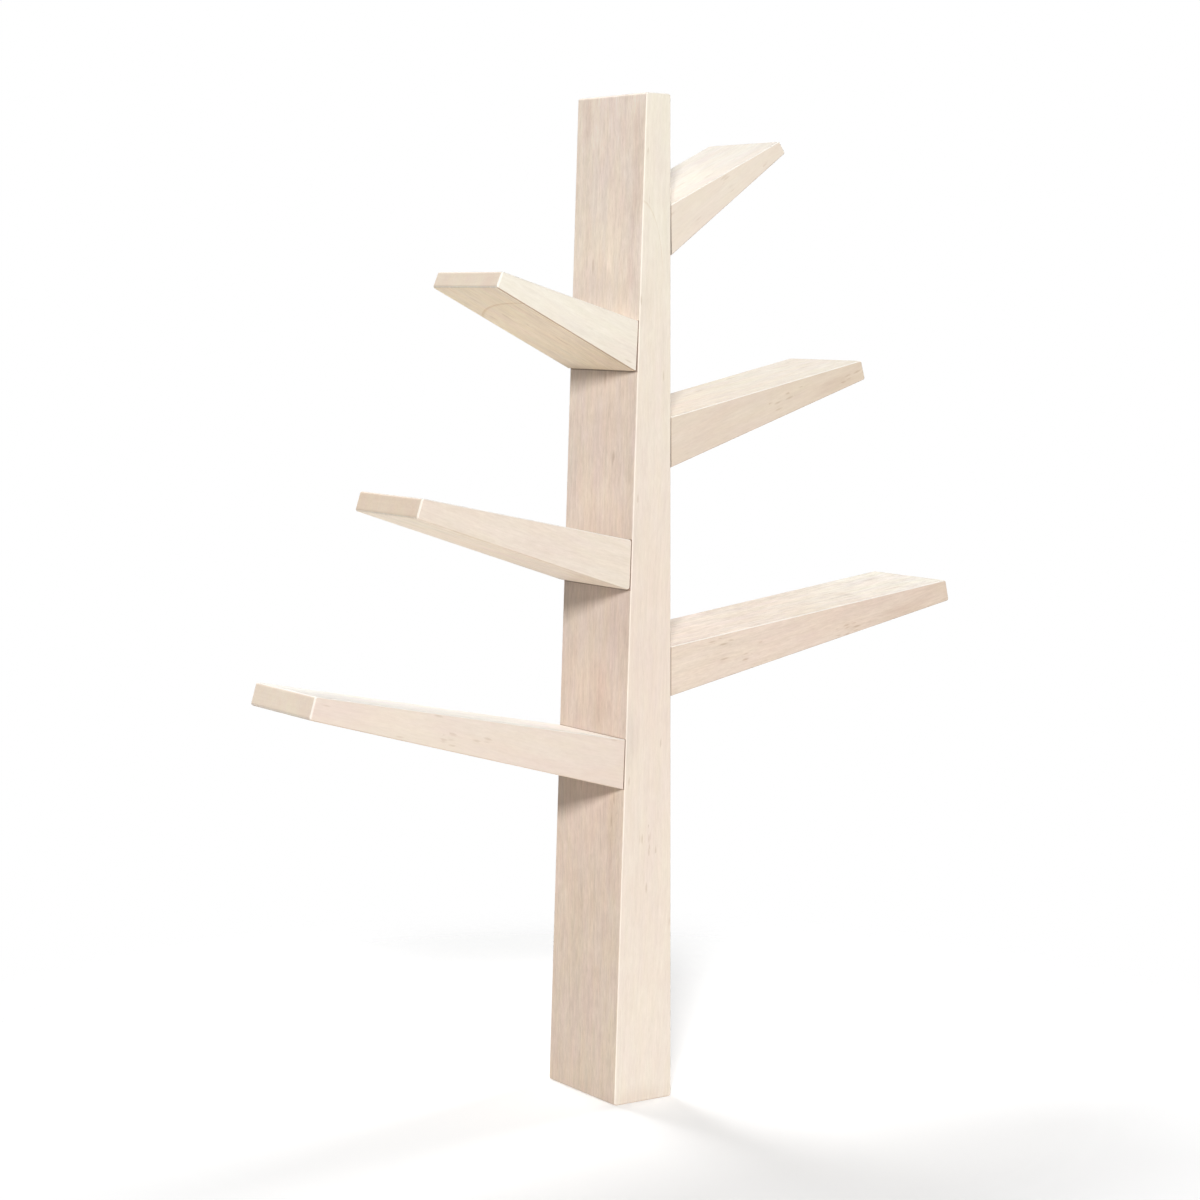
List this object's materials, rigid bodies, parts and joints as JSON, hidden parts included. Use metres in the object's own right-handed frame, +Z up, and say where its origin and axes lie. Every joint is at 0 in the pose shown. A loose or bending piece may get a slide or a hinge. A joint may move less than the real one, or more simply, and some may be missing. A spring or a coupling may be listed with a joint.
{
  "type": "tree shaped bookshelf",
  "caption": "Tall tapered wooden trunk that stands on the floor and hangs on the wall, with rising wedge-shaped branches on both sides that serve as book shelves.",
  "frame": {"origin": "centre of the trunk's flat foot, on the floor", "axes": "+Z up the trunk, +Y out of its back to the wall, +X to the right seen from the front"},
  "size_m": [0.8535, 0.129, 1.1],
  "materials": {
    "washed_pine": "whitewashed natural pine under a matt lacquer, fine open grain",
    "dowel_beech": "bare turned hardwood",
    "zinc_steel": "bright zinc-plated steel"
  },
  "bodies": {
    "root": {"trunk": "washed_pine", "branch_right_top": "washed_pine", "branch_left_top": "washed_pine", "branch_right_middle": "washed_pine", "branch_left_middle": "washed_pine", "branch_right_bottom": "washed_pine", "branch_left_bottom": "washed_pine", "dowel_front_right_top": "dowel_beech", "dowel_rear_right_top": "dowel_beech", "hanger_bolt_right_top": "zinc_steel", "washer_right_top": "zinc_steel", "nut_right_top": "zinc_steel", "dowel_front_left_top": "dowel_beech", "dowel_rear_left_top": "dowel_beech", "hanger_bolt_left_top": "zinc_steel", "washer_left_top": "zinc_steel", "nut_left_top": "zinc_steel", "dowel_front_right_middle": "dowel_beech", "dowel_rear_right_middle": "dowel_beech", "hanger_bolt_right_middle": "zinc_steel", "washer_right_middle": "zinc_steel", "nut_right_middle": "zinc_steel", "dowel_front_left_middle": "dowel_beech", "dowel_rear_left_middle": "dowel_beech", "hanger_bolt_left_middle": "zinc_steel", "washer_left_middle": "zinc_steel", "nut_left_middle": "zinc_steel", "dowel_front_right_bottom": "dowel_beech", "dowel_rear_right_bottom": "dowel_beech", "hanger_bolt_right_bottom": "zinc_steel", "washer_right_bottom": "zinc_steel", "nut_right_bottom": "zinc_steel", "dowel_front_left_bottom": "dowel_beech", "dowel_rear_left_bottom": "dowel_beech", "hanger_bolt_left_bottom": "zinc_steel", "washer_left_bottom": "zinc_steel", "nut_left_bottom": "zinc_steel", "keyhole_plate_upper": "zinc_steel", "plate_screw_high_upper": "zinc_steel", "plate_screw_low_upper": "zinc_steel", "keyhole_plate_lower": "zinc_steel", "plate_screw_high_lower": "zinc_steel", "plate_screw_low_lower": "zinc_steel"}
  },
  "joints": []
}
